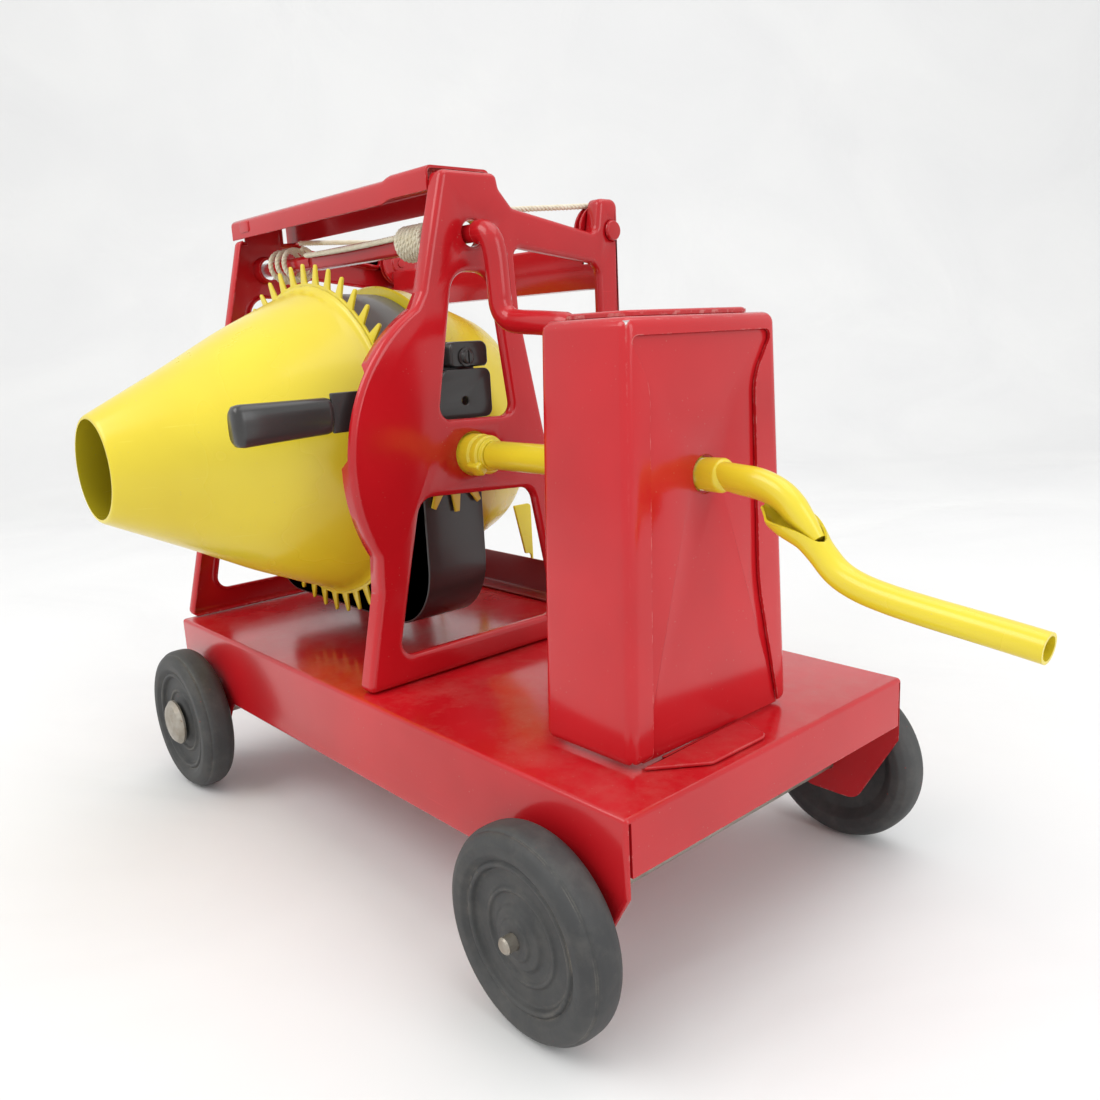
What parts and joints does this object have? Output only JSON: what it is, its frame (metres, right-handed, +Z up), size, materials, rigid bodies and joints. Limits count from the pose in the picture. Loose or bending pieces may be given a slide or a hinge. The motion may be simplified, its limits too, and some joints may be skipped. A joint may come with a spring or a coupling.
{
  "type": "toy concrete mixer",
  "caption": "Hand-cranked pressed-steel toy concrete mixer: tilting drum driven by finger gears, cord winch and skip, engine cover, deck on rubber wheels.",
  "frame": {"origin": "middle of the bounding box's footprint, on the floor under the wheels", "axes": "+X along the deck towards the crank handle, +Y from the drum's mouth towards the loading skip, +Z up"},
  "size_m": [0.363, 0.2392, 0.2462],
  "materials": {
    "red_enamel": "glossy stoved red enamel on pressed steel, lightly scratched and dusty",
    "dark_red_enamel": "darker red enamel on the low rail",
    "yellow_enamel": "semi-gloss yellow enamel with small chips and rub marks",
    "black_enamel": "satin black enamel",
    "grey_band": "worn dark grey paint",
    "rubber": "old black rubber, dusty, rubbed pale on the tread's edges",
    "bare_steel": "dull, slightly tarnished plated steel",
    "cord": "cream twisted cotton cord"
  },
  "bodies": {
    "chassis": {"axle_front": "bare_steel", "axle_rear": "bare_steel", "deck_tray": "red_enamel", "far_pivot_pin": "bare_steel", "housing_foot_tab": "red_enamel", "housing_panel": "red_enamel", "housing_wrap": "red_enamel", "hub_cap_front_far": "bare_steel", "hub_cap_rear_far": "bare_steel", "hub_cap_rear_near": "bare_steel", "pulley_pin_far": "red_enamel", "pulley_pin_near": "red_enamel", "rear_cross_channel": "red_enamel", "rear_deck_rail": "dark_red_enamel", "rope_lead_far": "cord", "rope_lead_near": "cord", "rope_strand_far": "cord", "rope_strand_near": "cord", "side_frame_far": "red_enamel", "side_frame_near": "red_enamel", "top_channel": "red_enamel"},
    "yoke": {"yoke_strap": "black_enamel", "yoke_hoop": "grey_band", "hoop_spacer_far": "black_enamel", "hoop_spacer_near": "black_enamel", "tilt_lever_bar": "black_enamel", "tilt_lever_grip": "black_enamel", "lever_block": "black_enamel", "lever_foot": "black_enamel", "lever_screw": "bare_steel"},
    "drum": {"drum_front_shell": "yellow_enamel", "drum_rear_shell": "yellow_enamel", "ring_gear": "yellow_enamel"},
    "crank": {"pinion_gear": "yellow_enamel", "crank_stub": "yellow_enamel", "crank_collar": "yellow_enamel", "crank_shaft": "yellow_enamel", "crank_arm": "yellow_enamel", "crank_handle": "yellow_enamel"},
    "winch": {"winch_bar": "red_enamel", "winch_crank": "red_enamel", "winch_handle": "red_enamel", "rope_far_turns": "cord", "rope_bar_run": "cord", "rope_near_coil": "cord"},
    "pulley_near": {"pulley_near": "red_enamel"},
    "pulley_far": {"pulley_far": "red_enamel"},
    "skip": {"skip_bucket": "yellow_enamel", "skip_crossbar": "yellow_enamel", "skip_guide_far": "yellow_enamel", "skip_guide_near": "yellow_enamel", "skip_lug_far": "yellow_enamel", "skip_lug_near": "yellow_enamel"},
    "wheel_front_near": {"wheel_front_near": "rubber"},
    "wheel_front_far": {"wheel_front_far": "rubber"},
    "wheel_rear_near": {"wheel_rear_near": "rubber"},
    "wheel_rear_far": {"wheel_rear_far": "rubber"}
  },
  "joints": [
    {"name": "yoke_tilt", "type": "hinge", "parent": "chassis", "child": "yoke", "pos_m": [-0.03443, -0.01314, 0.1474], "axis": [1, 0, 0], "range_deg": [-10, 35]},
    {"name": "drum_spin", "type": "hinge", "parent": "yoke", "child": "drum", "pos_m": [-0.09793, -0.01314, 0.1495], "axis": [0, 1, 0], "continuous": true},
    {"name": "crank_spin", "type": "hinge", "parent": "yoke", "child": "crank", "pos_m": [-0.03443, -0.01314, 0.1474], "axis": [1, 0, 0], "continuous": true},
    {"name": "skip_lift", "type": "slide", "parent": "chassis", "child": "skip", "axis": [0, 0, 1], "range_m": [0, 0.09], "deforming": ["rope_strand_near", "rope_strand_far"]},
    {"name": "winch_spin", "type": "hinge", "parent": "chassis", "child": "winch", "pos_m": [-0.03443, -0.00764, 0.2234], "axis": [1, 0, 0], "range_deg": [-10, 1080]},
    {"name": "pulley_near_spin", "type": "hinge", "parent": "chassis", "child": "pulley_near", "pos_m": [-0.02733, 0.06106, 0.2264], "axis": [1, 0, 0], "range_deg": [-5, 560]},
    {"name": "pulley_far_spin", "type": "hinge", "parent": "chassis", "child": "pulley_far", "pos_m": [-0.16833, 0.06106, 0.2264], "axis": [1, 0, 0], "range_deg": [-5, 560]},
    {"name": "wheel_front_near_spin", "type": "hinge", "parent": "chassis", "child": "wheel_front_near", "pos_m": [0.07777, -0.07694, 0.0305], "axis": [0, 1, 0], "continuous": true},
    {"name": "wheel_front_far_spin", "type": "hinge", "parent": "chassis", "child": "wheel_front_far", "pos_m": [0.07777, 0.07506, 0.0305], "axis": [0, 1, 0], "continuous": true},
    {"name": "wheel_rear_near_spin", "type": "hinge", "parent": "chassis", "child": "wheel_rear_near", "pos_m": [-0.15103, -0.07694, 0.0305], "axis": [0, 1, 0], "continuous": true},
    {"name": "wheel_rear_far_spin", "type": "hinge", "parent": "chassis", "child": "wheel_rear_far", "pos_m": [-0.15103, 0.07506, 0.0305], "axis": [0, 1, 0], "continuous": true}
  ],
  "couplings": [
    {"joint": "crank_spin", "follows": "drum_spin", "ratio": 3.4615},
    {"joint": "winch_spin", "follows": "skip_lift", "rad_per_m": 208},
    {"joint": "pulley_near_spin", "follows": "skip_lift", "rad_per_m": 104},
    {"joint": "pulley_far_spin", "follows": "skip_lift", "rad_per_m": 104}
  ]
}
